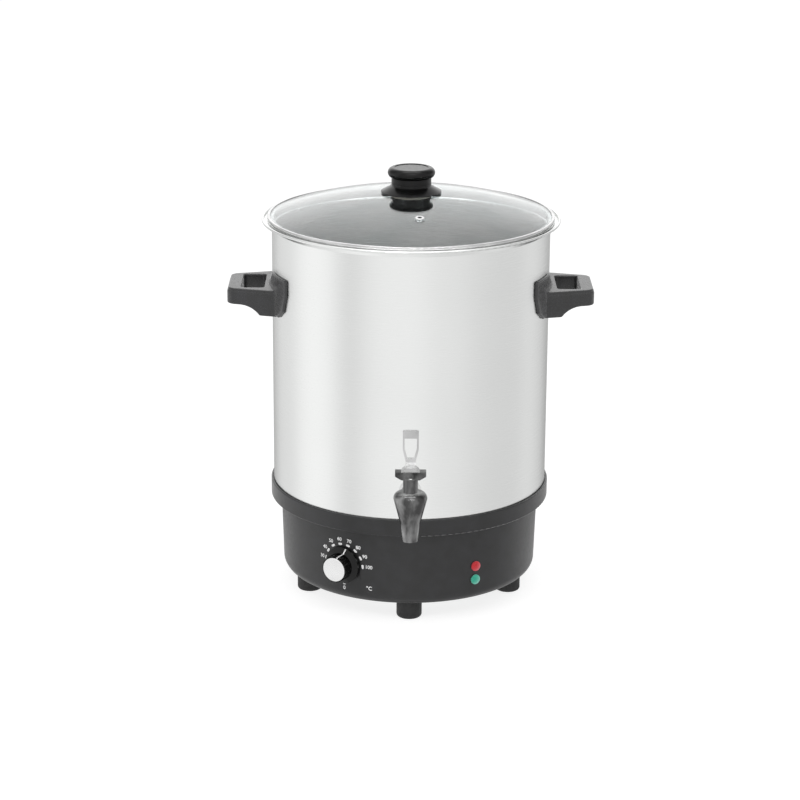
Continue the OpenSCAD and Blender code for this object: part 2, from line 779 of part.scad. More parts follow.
module handle_grip() {
    difference() {
        union() {
            translate([0, 0, root_low_z]) linear_extrude(seam_z - root_low_z) handle_plan(0);
            translate([0, 0, seam_z]) linear_extrude(grip_top_z - seam_z) handle_plan(seam_step);
        }
        translate([root_fillet_x, 0, grip_low_z - root_fillet_r]) rotate([90, 0, 0])
            cylinder(r = root_fillet_r, h = 4 * handle_root_w, center = true);
        translate([root_fillet_x, -2 * handle_root_w, root_low_z - past])
            cube([handle_reach, 4 * handle_root_w, root_drop + past]);
        translate([root_flat_x, -2 * handle_root_w, root_low_z - root_past])
            cube([handle_reach, 4 * handle_root_w, root_past]);
        translate([finger_x, 0, root_low_z - past]) linear_extrude(grip_top_z) {
            translate([0, finger_corner - finger_w / 2])
                square([finger_d, finger_w - 2 * finger_corner]);
            translate([finger_corner, -finger_w / 2])
                square([finger_d - 2 * finger_corner, finger_w]);
            for (x = [finger_corner, finger_d - finger_corner], side = [-1, 1])
                translate([x, side * (finger_w / 2 - finger_corner)]) circle(finger_corner);
        }
    }
}

module handle_saddle() {
    intersection() {
        translate([0, 0, root_low_z - past]) cylinder(r = saddle_r, h = ear_z - root_low_z + 2 * past);
        translate([vessel_r / 2, 0, 0]) rotate([90, 0, 90]) linear_extrude(vessel_r) polygon([
            [-saddle_w, ear_z - saddle_bevel],
            [saddle_bevel - saddle_w, ear_z],
            [-ear_x1, ear_z],
            [-ear_x0, dip_z],
            [ear_x0, dip_z],
            [ear_x1, ear_z],
            [saddle_w - saddle_bevel, ear_z],
            [saddle_w, ear_z - saddle_bevel],
            [saddle_w, ear_z - saddle_side_h],
            [saddle_w - saddle_chin_w, root_low_z + saddle_chin_h],
            [saddle_w - saddle_foot_w, root_low_z + saddle_bevel],
            [saddle_foot_w - saddle_w, root_low_z + saddle_bevel],
            [saddle_chin_w - saddle_w, root_low_z + saddle_chin_h],
            [-saddle_w, ear_z - saddle_side_h],
        ]);
    }
}

module handle() color("dimgray") difference() {
    union() {
        handle_grip();
        handle_saddle();
    }
    cylinder(r = vessel_r + joint_gap, h = ear_z + past);
    for (az = [90 - handle_screw_az, 90 + handle_screw_az]) outward(az, handle_screw_z)
        cylinder(d = handle_screw_d - 2 * fit, h = vessel_r + handle_screw_l);
}

module handle_right() placed() handle();

module handle_left() placed() mirror([1, 0, 0]) handle();

seal_t = 1.5;
seal_d = 13;
handle_head_h = 3;
handle_key_w = 3;
handle_key_h = 1.8;

module handle_screws() placed() color("silver") for (az = handle_azimuths)
    outward(az, handle_screw_z) {
        translate([0, 0, vessel_r - vessel_wall - seal_t])
            cylinder(d = handle_screw_d - 2 * fit - 2 * joint_gap,
                h = vessel_wall + seal_t + handle_screw_l - past);
        translate([0, 0, vessel_r - vessel_wall - seal_t - handle_head_h]) difference() {
            cylinder(d = 2 * handle_screw_d, h = handle_head_h);
            translate([0, 0, -past]) hex(handle_key_w, handle_key_h + past);
        }
    }

module handle_seals() placed() color("black") for (az = handle_azimuths)
    outward(az, handle_screw_z) intersection() {
        translate([0, 0, vessel_r - vessel_wall - seal_t])
            tube(handle_screw_d / 2, seal_d / 2, 2 * seal_t);
        rotate([-90, 0, 0]) translate([0, 0, -seal_d])
            cylinder(r = vessel_r - vessel_wall, h = 2 * seal_d, $fn = 720);
    }

// Pilot lights

pilot_flange_t = 1.5;
pilot_dome_h = 3.4;
pilot_body_d = 13;
pilot_body_l = 20;
pilot_stem = 5;
pilot_dome_r = (pow(pilot_d / 2, 2) + pow(pilot_dome_h - pilot_flange_t, 2))
    / (2 * (pilot_dome_h - pilot_flange_t));

module pilot_lens(drop) outward(pilot_az, collar_z - drop)
    translate([0, 0, wall_r(collar_z - drop) + seat_gap]) rotate_extrude() {
        ring_2d(0, pilot_d / 2, 0, pilot_flange_t);
        intersection() {
            translate([0, pilot_dome_h - pilot_dome_r]) circle(pilot_dome_r);
            ring_2d(0, pilot_d / 2, pilot_flange_t - joint_gap, pilot_dome_h + past);
        }
        ring_2d(0, pilot_hole_d / 2 - joint_gap, -base_wall - pilot_stem, past);
    }

module pilot_lens_red() placed() color("red") pilot_lens(red_drop);

module pilot_lens_green() placed() color("green") pilot_lens(green_drop);

function pilot_back_r(drop) = wall_r(collar_z - drop) - base_wall - back_gap - pilot_body_l;

module pilot_light_bodies() placed() color("white") for (drop = pilot_drops)
    outward(pilot_az, collar_z - drop)
        translate([0, 0, pilot_back_r(drop)]) difference() {
            cylinder(d = pilot_body_d, h = pilot_body_l);
            translate([0, 0, pilot_body_l - pilot_stem])
                cylinder(d = pilot_hole_d, h = pilot_stem + past);
        }

// Mains inlet

gland_hex = 22;
gland_hex_t = 5.5;
gland_cap_l = 12;
gland_bore_d = 8;
gland_nut_t = 5;
gland_tail = 3;
gland_cap_step = 1;
gland_cap_round = 4;
gland_cap_r = gland_hex / 2 - gland_cap_step;
// Length of its thread inside the base's outer face
gland_in = base_wall + gland_nut_t + gland_tail;

module cable_gland() placed() color("black") outward(gland_az, gland_z)
    translate([0, 0, gland_r + seat_gap]) difference() {
        union() {
            translate([0, 0, -gland_in]) cylinder(d = gland_d - joint_gap, h = gland_in + past);
            hex(gland_hex, gland_hex_t);
            rotate_extrude() translate([0, gland_hex_t - joint_gap]) {
                ring_2d(0, gland_cap_r, 0, gland_cap_l - gland_cap_round);
                ring_2d(0, gland_cap_r - gland_cap_round, 0, gland_cap_l);
                translate([gland_cap_r - gland_cap_round, gland_cap_l - gland_cap_round])
                    circle(gland_cap_round);
            }
        }
        translate([0, 0, -gland_in - past])
            cylinder(d = gland_bore_d, h = gland_in + gland_hex_t + gland_cap_l + 2 * past);
    }

module gland_nut() placed() color("black") outward(gland_az, gland_z)
    translate([0, 0, gland_r - base_wall - back_gap - gland_nut_t]) difference() {
        hex(gland_hex, gland_nut_t);
        translate([0, 0, -past]) cylinder(d = gland_d, h = gland_nut_t + 2 * past);
    }

module terminal_block() placed() color("ivory") on_ring(block_az, block_ring_r)
    translate([0, 0, base_z + base_wall]) difference() {
        translate([-block_size[0] / 2, -block_size[1] / 2, 0]) cube(block_size);
        for (way = [-1 : 1]) translate([way * block_pitch, block_size[1], block_way_z])
            rotate([90, 0, 0]) cylinder(d = block_way_d, h = 2 * block_size[1]);
        for (side = [-1, 1]) translate([side * block_screw_x, 0, -past])
            cylinder(d = block_screw_d + 2 * joint_gap, h = block_size[2] + 2 * past);
    }

module terminal_block_screws() placed() color("gray") for (side = [-1, 1])
    on_ring(block_az, block_ring_r) translate([side * block_screw_x, 0, base_z + past]) {
        cylinder(d = block_screw_d - joint_gap, h = base_wall - past + block_size[2]);
        translate([0, 0, base_wall - past + block_size[2]]) cylinder(d = 2 * block_screw_d, h = 2);
    }

// Wires inside the base

wire_r = 1.3;
wire_ring_r = 107;
wire_bend = 6;
wire_gap = 4;
block_way_r = block_ring_r - block_size[1] / 2 + 6;
block_wire_z = base_z + base_wall + block_way_z;
thermostat_back_r = pad_r - thermostat_l;
pin_z = plate_z - joint_gap - leg_l - pin_l;
blade_z = plate_z - cutout_h - blade_l;
red_back_r = pilot_back_r(red_drop);
green_back_r = pilot_back_r(green_drop);

// The point at this azimuth, radius and height, moved t along the wall
function polar(az, r, z, t = 0) = [r * sin(az) + t * cos(az), t * sin(az) - r * cos(az), z];

module wire(route) {
    sweep(eased(route, wire_bend), wire_r, 6, [0.1, 0.2, 1]);
}

module wiring() placed() color("brown") {
    // From the block to the thermostat
    wire([
        polar(block_az, block_way_r, block_wire_z, -block_pitch),
        polar(block_az, wire_ring_r, block_wire_z, -block_pitch),
        polar(85, wire_ring_r, dial_z - 12),
        polar(60, wire_ring_r - 2, dial_z - 12),
        polar(30, wire_ring_r, dial_z - 12),
        polar(0, wire_ring_r, dial_z - 12),
        polar(dial_az, wire_ring_r, dial_z - 6, 6),
        polar(dial_az, thermostat_back_r, dial_z - 6, 6),
    ]);
    // From the thermostat to the element
    wire([
        polar(dial_az, thermostat_back_r, dial_z - 6, -8),
        polar(dial_az, wire_ring_r, dial_z - 6, -8),
        polar(-60, wire_ring_r - 4, dial_z - 6),
        polar(-110, wire_ring_r - 14, dial_z - 6),
        polar(leg_azimuths[1], element_ring_r, dial_z - 6),
        polar(leg_azimuths[1], element_ring_r, pin_z),
    ]);
    // From the block to the cut-out, and on to the element
    wire([
        polar(block_az, block_way_r, block_wire_z, block_pitch),
        polar(block_az, wire_ring_r - 6, block_wire_z, block_pitch),
        polar(cutout_az, cutout_ring_r, block_wire_z + 10, -blade_x),
        polar(cutout_az, cutout_ring_r, blade_z, -blade_x),
    ]);
    wire([
        polar(cutout_az, cutout_ring_r, blade_z, blade_x),
        polar(cutout_az, cutout_ring_r, blade_z - 30, blade_x),
        polar(leg_azimuths[0], element_ring_r, blade_z - 40),
        polar(leg_azimuths[0], element_ring_r, pin_z),
    ]);
    // From the block to the pilot lights
    wire([
        polar(block_az, block_way_r, block_wire_z),
        polar(block_az, wire_ring_r - 4, block_wire_z),
        polar(60, wire_ring_r - 6, collar_z - red_drop - 4),
        polar(pilot_az, red_back_r - 12, collar_z - red_drop, wire_gap),
        polar(pilot_az, red_back_r, collar_z - red_drop, wire_gap),
    ]);
    wire([
        polar(pilot_az, red_back_r, collar_z - red_drop, -wire_gap),
        polar(pilot_az, red_back_r - 10, collar_z - red_drop, -wire_gap),
        polar(pilot_az, green_back_r - 10, collar_z - green_drop, -wire_gap),
        polar(pilot_az, green_back_r, collar_z - green_drop, -wire_gap),
    ]);
}

// Tap

shoulder_r = tap_shoulder_d / 2 - tap_shoulder_round;
shoulder_rise = 4.4;
shoulder_z = tap_z + shoulder_rise;
body_top_z = shoulder_z + tap_shoulder_round;
waist_r = 12.4;
waist_drop = 27;
waist_z = tap_z - waist_drop;
mouth_z = tap_z - spout_l;
seat_drop = 16;
seat_z = tap_z - seat_drop;
seat_bore_r = 7.5;
chamber_r = 9.4;
thread_rise = 4;
thread_z = tap_z + thread_rise;
neck_r = tap_neck_d / 2;
neck_show_h = 16.5;
head_low_z = body_top_z + neck_show_h;
head_top_z = head_low_z + tap_head_h;
barrel_r = 11;
flange_r = 14;
flange_t = 4;
gasket_t = 2.5;
shank_in = 18;
tap_nut_h = 8;
tap_nut_w = 27;
stem_d = 5;
web_t = 8;
cavity_r = 6.3;
cup_h = 12;
cup_play = 1.2;
cup_round = 2;
stem_in = 4;
plunger_play = 0.7;
plunger_flange_h = 1.2;
spring_r = 4.6;
spring_wire_r = 0.6;
spring_turns = 8;
cam_r = 5.5;
cam_gap = 0.2;
pivot_z = head_top_z + cam_gap + cam_r;
eye_r = 2.9;
eye_w = 4.4;
lever_pin_d = 2.5;
slot_w = stem_d + 2 * fit;
lever_t = 5.2;
dome_w = 22.5;
dome_h = 6.4;

module at_tap() {
    translate([0, -tap_axis_r, 0]) children();
}

// Where the line from p touches the circle of radius r about c, on its right
function touch(p, c, r) =
    let (
        d = c - p,
        l = norm(d),
        a = atan2(d[1], d[0]) - asin(r / l)
    ) p + sqrt(l * l - r * r) * [cos(a), sin(a)];

module tap_body() placed() color("dimgray") difference() {
    union() {
        at_tap() rotate_extrude() {
            polygon([
                [0, mouth_z],
                [tap_mouth_d / 2, mouth_z],
                [waist_r, waist_z],
                touch([waist_r, waist_z], [shoulder_r, shoulder_z], tap_shoulder_round),
                [shoulder_r, body_top_z],
                [0, body_top_z],
            ]);
            translate([shoulder_r, shoulder_z]) circle(tap_shoulder_round);
        }
        outward(0, tap_z) {
            translate([0, 0, vessel_r + gasket_t]) cylinder(r = flange_r, h = flange_t);
            translate([0, 0, vessel_r + gasket_t]) cylinder(r = barrel_r, h = tap_reach - gasket_t);
            translate([0, 0, vessel_r - shank_in]) cylinder(d = shank_d, h = shank_in + 2 * gasket_t);
        }
    }
    at_tap() {
        translate([0, 0, mouth_z - past]) cylinder(r = seat_bore_r, h = spout_l);
        translate([0, 0, seat_z]) cylinder(r = chamber_r, h = thread_z - seat_z);
        translate([0, 0, thread_z - past]) cylinder(r = neck_r, h = spout_l);
    }
    outward(0, tap_z) translate([0, 0, vessel_r - shank_in - past])
        cylinder(d = waterway_d, h = shank_in + tap_reach - neck_r / 2);
}

module tap_outer_gasket() placed() color("black") difference() {
    outward(0, tap_z) translate([0, 0, vessel_r - gasket_t])
        tube(shank_d / 2 + joint_gap, flange_r - 1, 2 * gasket_t);
    cylinder(r = vessel_r, h = 2 * tap_z, $fn = 720);
}

module tap_inner_gasket() placed() color("black") intersection() {
    outward(0, tap_z) translate([0, 0, vessel_r - vessel_wall - gasket_t])
        tube(shank_d / 2 + joint_gap, flange_r - 1, 2 * gasket_t);
    cylinder(r = vessel_r - vessel_wall, h = 2 * tap_z, $fn = 720);
}

module tap_nut() placed() color("gray") outward(0, tap_z)
    translate([0, 0, vessel_r - vessel_wall - gasket_t - tap_nut_h]) difference() {
        hex(tap_nut_w, tap_nut_h);
        translate([0, 0, -past]) cylinder(d = shank_d, h = tap_nut_h + 2 * past);
    }

// One course of the ridged head, drawn in by inset
module head_course(z, h, inset) {
    w = tap_head_w - 2 * inset;
    d = tap_head_d - 2 * inset;
    translate([-w / 2, -d / 2, z]) cube([w, d, h]);
}

ridge_count = 3;
ridge_pitch = 1.8;
ridge_gap = 0.5;
ridge_inset = 0.7;
ridges_h = ridge_count * ridge_pitch;
head_chin = 2;
neck_groove_w = 2.4;
neck_groove_d = 1;

module tap_bonnet() placed() color("dimgray") at_tap() difference() {
    union() {
        translate([0, 0, thread_z])
            cylinder(r = neck_r - joint_gap / 2, h = head_low_z - thread_z + past);
        head_course(head_top_z - ridges_h, ridges_h, ridge_inset);
        for (k = [1 : ridge_count])
            head_course(head_top_z - k * ridge_pitch + ridge_gap, ridge_pitch - ridge_gap, 0);
        rotate([90, 0, 0]) linear_extrude(tap_head_d, center = true) polygon([
            [-tap_head_w / 2, head_top_z - ridges_h],
            [-neck_r - head_chin, head_low_z],
            [neck_r + head_chin, head_low_z],
            [tap_head_w / 2, head_top_z - ridges_h],
        ]);
    }
    translate([0, 0, thread_z - past])
        cylinder(r = cavity_r, h = head_top_z - web_t - thread_z + past);
    cylinder(r = stem_d / 2 + running_fit, h = head_top_z + past);
    for (a = [0 : 45 : 315]) rotate([0, 0, a])
        translate([-neck_groove_w / 2, neck_r - neck_groove_d, body_top_z])
            cube([neck_groove_w, 2 * neck_groove_d, neck_show_h]);
}

module tap_plunger() placed() color("gainsboro") at_tap() difference() {
    union() {
        translate([0, 0, seat_z + stem_in]) cylinder(d = stem_d, h = pivot_z - seat_z - stem_in);
        translate([0, 0, seat_z + cam_gap + cup_h])
            cylinder(r = cavity_r - plunger_play, h = plunger_flange_h);
        translate([-eye_w / 2, 0, pivot_z]) rotate([0, 90, 0]) cylinder(r = eye_r, h = eye_w);
    }
    translate([-eye_w, 0, pivot_z]) rotate([0, 90, 0])
        cylinder(d = lever_pin_d + 2 * running_fit, h = 2 * eye_w);
}

module tap_seat_cup() placed() color("white") at_tap() rotate_extrude() difference() {
    cup_2d(chamber_r - cup_play, seat_z + cam_gap, seat_z + cam_gap + cup_h, cup_round);
    ring_2d(-past, stem_d / 2, seat_z + stem_in, seat_z + cup_h + past);
}

module tap_spring() placed() color("silver") at_tap() {
    z0 = seat_z + cam_gap + cup_h + plunger_flange_h + spring_wire_r + joint_gap;
    z1 = head_top_z - web_t - spring_wire_r - joint_gap;
    steps = 12;
    sweep([
        for (i = [0 : spring_turns * steps])
            let (a = 360 * i / steps)
                [spring_r * cos(a), spring_r * sin(a), z0 + (z1 - z0) * i / (spring_turns * steps)]
    ], spring_wire_r, 6, [0, 0, 1]);
}

// The foot of the lever is a cam whose height over the head grows evenly with the lever's angle
cam_rate = tap_lift / (lever_travel * PI / 180);
function cam(a) =
    let (p = cam_r + cam_rate * a * PI / 180)
        [-p * sin(a) - cam_rate * cos(a), cam_rate * sin(a) - p * cos(a)];

// The lever's steps, up from its pin: behind its foot, in front of it, and up its stem to the loop
toe_low = 1.5;
toe_high = 3.5;
toe_w = 2;
neck_back = 6;
neck_front = 4;
lever_stem_top = 6.5;
loop_low = 21.5;
loop_draft = 0.1;
loop_round = 1.5;
loop_wall = 2.1;
loop_bar = 9.5;
window_low = 10.5;
window_shoulder = 22;
window_chin = 3.2;

module lever_side() {
    polygon(concat(
        [[cam_r, -cam_r]],
        [for (k = [0 : 9]) cam(lever_travel * k / 9)],
        [
            [cam(lever_travel)[0], toe_low],
            [-lever_t / 2 - toe_w, toe_high],
            [-lever_t / 2, neck_back],
            [-lever_t / 2, lever_l],
            [lever_t / 2, lever_l],
            [lever_t / 2, neck_front],
            [cam_r, 0],
        ]
    ));
}

module lever_front() {
    dome_r = (dome_w * dome_w / 4 + dome_h * dome_h) / (2 * dome_h);
    loop = lever_loop_w / 2;
    stem = lever_stem_w / 2;
    intersection() {
        translate([0, dome_h - cam_r - dome_r]) circle(dome_r);
        translate([-dome_w / 2, -cam_r]) square([dome_w, 2 * dome_h]);
    }
    polygon([
        [-stem, -cam_r],
        [stem, -cam_r],
        [stem, lever_stem_top],
        [loop - loop_draft, loop_low],
        [loop, lever_l - loop_round],
        [loop - loop_round, lever_l],
        [loop_round - loop, lever_l],
        [-loop, lever_l - loop_round],
        [loop_draft - loop, loop_low],
        [-stem, lever_stem_top],
    ]);
}

module lever_window() {
    side = lever_loop_w / 2 - loop_wall;
    polygon([
        [window_chin - side, window_low],
        [side - window_chin, window_low],
        [side - loop_draft, window_shoulder],
        [side, lever_l - loop_bar],
        [-side, lever_l - loop_bar],
        [loop_draft - side, window_shoulder],
    ]);
}

// The plunger's eye, and the room that its stem takes over the lever's whole travel
module lever_slot() {
    room = eye_r + fit;
    side = room * [-cos(lever_travel), sin(lever_travel)];
    down = -4 * cam_r * [sin(lever_travel), cos(lever_travel)];
    circle(room);
    polygon([[room, 0], [0, 0], side, side + down, [room, -4 * cam_r]]);
}

module tap_lever() placed() color("silver") at_tap() translate([0, 0, pivot_z]) difference() {
    intersection() {
        rotate([90, 0, 90]) linear_extrude(2 * dome_w, center = true) lever_side();
        rotate([90, 0, 0]) linear_extrude(2 * lever_l, center = true) lever_front();
    }
    rotate([90, 0, 0]) linear_extrude(2 * lever_l, center = true) lever_window();
    rotate([90, 0, 90]) linear_extrude(slot_w, center = true) lever_slot();
    translate([-dome_w, 0, 0]) rotate([0, 90, 0]) cylinder(d = lever_pin_d + joint_gap, h = 2 * dome_w);
}

module tap_lever_pin() placed() color("gray") at_tap()
    translate([2 * joint_gap - lever_stem_w / 2, 0, pivot_z]) rotate([0, 90, 0])
        cylinder(d = lever_pin_d, h = lever_stem_w - 4 * joint_gap);

// Lid

band_r = bead_ring_r - bead_r - lid_play;
band_gap = 0.2;
band_z = ledge_z + band_gap;
band_round = 0.9;
band_over = 1.5;
band_flange_play = 1.5;
band_flange_r = vessel_r - vessel_wall - band_flange_play;
glass_set = 1.8;
glass_rise = 4.8;
glass_edge_r = band_r - glass_set;
glass_edge_z = ledge_z + glass_rise;
glass_top_z = glass_edge_z + lid_rise;
dome_r = (glass_edge_r * glass_edge_r + lid_rise * lid_rise) / (2 * lid_rise);
dome_z = glass_top_z - dome_r;
vent_tilt = asin(vent_ring_r / dome_r);
knob_z = glass_top_z + knob_skirt_h;
knob_head_z = knob_z + knob_neck_h;
knob_top_z = knob_head_z + knob_head_h;
knob_washer_z = glass_top_z - glass_t - knob_washer_t;
knob_plate_z = knob_washer_z - knob_plate_h;
knob_screw_d = 6;
knob_round = 6.5;
knob_under_round = 4;
knob_screw_in = 4;
knob_screw_top_z = knob_head_z + knob_screw_in;
knob_dish_w = 2;
knob_dish_h = 0.6;
knob_groove_w = 1;
knob_groove_d = 0.6;
knob_groove_z = knob_z + knob_neck_h / 3;
skirt_lip = 0.8;
skirt_seat_r = 29;
washer_r = 24.4;
plate_round = 4.5;
plate_widest = 5;
plate_sink = 4;
plate_head_gap = 0.5;
vent_wall = 2;
eyelet_t = 1.2;
eyelet_round = 0.5;
eyelet_back_t = 1;

module big_circle(r) {
    circle(r, $fn = 360);
}

// Half section of the glass, grown by gap all round
module glass_2d(gap) {
    intersection() {
        translate([0, dome_z]) difference() {
            big_circle(dome_r + gap);
            big_circle(dome_r - glass_t - gap);
        }
        ring_2d(0, glass_edge_r + gap, ledge_z - glass_t, glass_top_z + past);
    }
}

// A frame whose z runs out of the dome at the vent
module at_vent() {
    translate([0, 0, dome_z]) rotate([0, 0, vent_az]) rotate([vent_tilt, 0, 0]) children();
}

module lid_glass() placed() color("lightcyan") difference() {
    rotate_extrude() difference() {
        glass_2d(0);
        ring_2d(-past, knob_screw_d / 2 + 1, ledge_z, glass_top_z + 2 * past);
    }
    at_vent() translate([0, 0, dome_r - 3 * glass_t])
        cylinder(d = vent_hole_d + 2 * vent_wall, h = 6 * glass_t);
}

module lid_band() placed() color("silver") rotate_extrude() difference() {
    union() {
        rounded_ring_2d(band_r - band_w, band_r, band_z, glass_edge_z + band_over, band_round);
        ring_2d(band_flange_r - band_t, band_r - band_w / 2, band_z, band_z + band_t);
        ring_2d(band_flange_r - band_t, band_flange_r, band_z - band_flange_h, band_z + band_t);
    }
    glass_2d(joint_gap / 2);
}

module lid_knob() placed() color("black") rotate_extrude() difference() {
    union() {
        ring_2d(0, knob_neck_d / 2, knob_z, knob_head_z + past);
        ring_2d(0, knob_head_d / 2 - knob_under_round, knob_head_z, knob_top_z - knob_round);
        ring_2d(0, knob_head_d / 2, knob_head_z + knob_under_round, knob_top_z - knob_round);
        ring_2d(0, knob_head_d / 2 - knob_round, knob_head_z, knob_top_z);
        translate([knob_head_d / 2 - knob_under_round, knob_head_z + knob_under_round])
            circle(knob_under_round);
        translate([knob_head_d / 2 - knob_round, knob_top_z - knob_round]) circle(knob_round);
    }
    ring_2d(-past, knob_screw_d / 2, knob_z - past, knob_screw_top_z + past);
    ring_2d(-past, knob_head_d / 2 - knob_round - knob_dish_w, knob_top_z - knob_dish_h,
        knob_top_z + past);
    ring_2d(knob_neck_d / 2 - knob_groove_d, knob_neck_d, knob_groove_z - knob_groove_w / 2,
        knob_groove_z + knob_groove_w / 2);
}

module lid_knob_skirt() placed() color("black") rotate_extrude() difference() {
    polygon([
        [knob_screw_d / 2 + joint_gap, glass_top_z - glass_t],
        [skirt_seat_r, glass_top_z - glass_t],
        [skirt_seat_r, glass_top_z],
        [knob_skirt_d / 2, glass_top_z],
        [knob_skirt_d / 2, glass_top_z + skirt_lip],
        [knob_neck_d / 2, knob_z],
        [knob_screw_d / 2 + joint_gap, knob_z],
    ]);
    translate([0, dome_z]) big_circle(dome_r + joint_gap / 2);
}

module lid_knob_washer() placed() color("gainsboro") rotate_extrude() intersection() {
    ring_2d(knob_screw_d / 2 + joint_gap, washer_r, knob_washer_z + joint_gap, glass_top_z);
    translate([0, dome_z]) big_circle(dome_r - glass_t - joint_gap / 2);
}

module lid_knob_plate() placed() color("black") rotate_extrude() difference() {
    union() {
        cup_2d(knob_plate_d / 2, knob_plate_z, knob_plate_z + plate_widest, plate_round);
        polygon([
            [0, knob_plate_z + plate_widest],
            [knob_plate_d / 2, knob_plate_z + plate_widest],
            [washer_r, knob_washer_z],
            [0, knob_washer_z],
        ]);
    }
    ring_2d(-past, knob_screw_d / 2 + joint_gap, knob_plate_z - past, glass_top_z + past);
    ring_2d(-past, knob_screw_d + joint_gap, knob_plate_z - past, knob_plate_z + plate_sink);
}

module lid_knob_screw() placed() color("gray") {
    translate([0, 0, knob_plate_z + plate_sink])
        cylinder(d = knob_screw_d - joint_gap, h = knob_screw_top_z - knob_plate_z - plate_sink);
    translate([0, 0, knob_plate_z + plate_head_gap]) difference() {
        cylinder(d = 2 * knob_screw_d - 1, h = plate_sink - plate_head_gap);
        translate([0, 0, -past]) hex(key_w, key_h + past);
    }
}

module vent_grommet() placed() color("silver") at_vent() rotate_extrude() difference() {
    back_r = dome_r - glass_t - joint_gap;
    union() {
        ring_2d(0, vent_hole_d / 2 + vent_wall - joint_gap, back_r - eyelet_back_t,
            dome_r + joint_gap + eyelet_t / 2);
        rounded_ring_2d(0, vent_d / 2, dome_r + joint_gap, dome_r + joint_gap + eyelet_t, eyelet_round);
        ring_2d(0, vent_d / 2, back_r - eyelet_back_t, back_r);
    }
    ring_2d(-past, vent_hole_d / 2, dome_r - 3 * glass_t, dome_r + 3 * glass_t);
}

vessel();
weld_nuts();
centre_stud();
heat_plate();
heating_element();
element_pins();
shield_spacer();
heat_shield();
centre_nut();
thermal_cutout();
capillary();
bulb_clip();
base_housing();
base_plate();
base_plate_screws();
hold_down_screws();
rubber_feet();
foot_screws();
handle_left();
handle_right();
handle_screws();
handle_seals();
thermostat_body();
thermostat_screws();
thermostat_spindle();
thermostat_knob();
knob_cap();
pilot_lens_red();
pilot_lens_green();
pilot_light_bodies();
terminal_block();
terminal_block_screws();
wiring();
cable_gland();
gland_nut();
tap_body();
tap_bonnet();
tap_plunger();
tap_seat_cup();
tap_spring();
tap_lever();
tap_lever_pin();
tap_outer_gasket();
tap_inner_gasket();
tap_nut();
lid_glass();
lid_band();
lid_knob();
lid_knob_skirt();
lid_knob_washer();
lid_knob_plate();
lid_knob_screw();
vent_grommet();
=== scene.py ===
import math
import bpy
import bmesh
from mathutils import Matrix, Vector


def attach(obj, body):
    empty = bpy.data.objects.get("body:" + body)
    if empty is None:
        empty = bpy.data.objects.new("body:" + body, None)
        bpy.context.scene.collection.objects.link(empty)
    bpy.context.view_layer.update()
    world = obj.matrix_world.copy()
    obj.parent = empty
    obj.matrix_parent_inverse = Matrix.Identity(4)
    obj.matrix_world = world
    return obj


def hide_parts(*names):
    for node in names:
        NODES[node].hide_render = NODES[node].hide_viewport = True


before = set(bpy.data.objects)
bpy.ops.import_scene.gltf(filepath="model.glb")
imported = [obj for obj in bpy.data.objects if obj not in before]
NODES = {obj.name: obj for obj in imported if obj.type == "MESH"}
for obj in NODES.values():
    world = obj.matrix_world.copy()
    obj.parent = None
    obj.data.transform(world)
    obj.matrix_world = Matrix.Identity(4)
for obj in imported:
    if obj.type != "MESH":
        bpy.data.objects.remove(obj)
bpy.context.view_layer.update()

# Lengths of the part are in millimetres here, and MM turns them into metres
MM = 0.001
AXIS_Y = 23.95
COLLAR_Z = 143
TAP_ROOT_Y = -178.5
TAP_ROOT_FADE = 4

# The base's wall leans out from its foot to the collar
WALL_FOOT_R = 162.85
WALL_FLARE = 2.65
WALL_FOOT_Z = 36.4
WALL_H = 85.1

# The dial's place on the wall, and its scale: clockwise angles from the top
DIAL_AZ = -30.2
DIAL_Z = 71.4
PRINT_PROUD = 0.12
SCALE_FIRST, SCALE_LAST, SCALE_STEP = 30, 100, 10
REST_READING = 70
REST_ANGLE = 15.2
ANGLE_PER_DEGREE = 2.438

# A mark's ring, length and width, and the lettering's sizes and places
MARK = (26.8, 5.6, 2.9)
ZERO_ANGLE = 178
ZERO_MARK = (26.5, 4.0, 1.4)
NUMERAL_RING = 33.1
THREE_DIGITS_OUT = 1.7
NUMERAL_SIZE, NUMERAL_BOLD = 6.5, 0.14
ZERO_SIZE, ZERO_PLACE = 6.8, (0.8, -31.6)
UNIT_SIZE, UNIT_PLACE = 7.2, (34.9, -27.5)
SIGN_BOLD = 0.16

# The pointer's line over the knob: mm from the dial's axis and mm out from the wall
POINTER_W = 1.7
POINTER_PATH = ((15.7, 22.3), (17.0, 22.3), (17.25, 22.0), (17.25, 8.3), (17.6, 7.9), (23.2, 4.75))

# The rolled hem of the lid's band
HEM_R, HEM_Z, HEM_T = 171.8, 472.2, 1.6
HEM_SIDES, HEM_STEPS = 8, 180

# The rounding of the handles' edges: the voxels' size in metres, and the rounds of smoothing
HANDLE_VOXEL = 0.0007
HANDLE_ROUNDS = 20

# How deep the marks of each finish are, in metres
GRAIN_DEPTH = 0.00008
CAST_DEPTH = 0.00005
HAIR_DEPTH = 0.00001
RIPPLE_DEPTH = 0.0001


# Materials

def level_of(value):
    """An sRGB level from 0 to 255 as linear light."""
    if value <= 10:
        return value / 255 / 12.92
    return ((value / 255 + 0.055) / 1.055) ** 2.4


def linear(r, g, b):
    return (level_of(r), level_of(g), level_of(b), 1)


def grey(value):
    return linear(value, value, value)


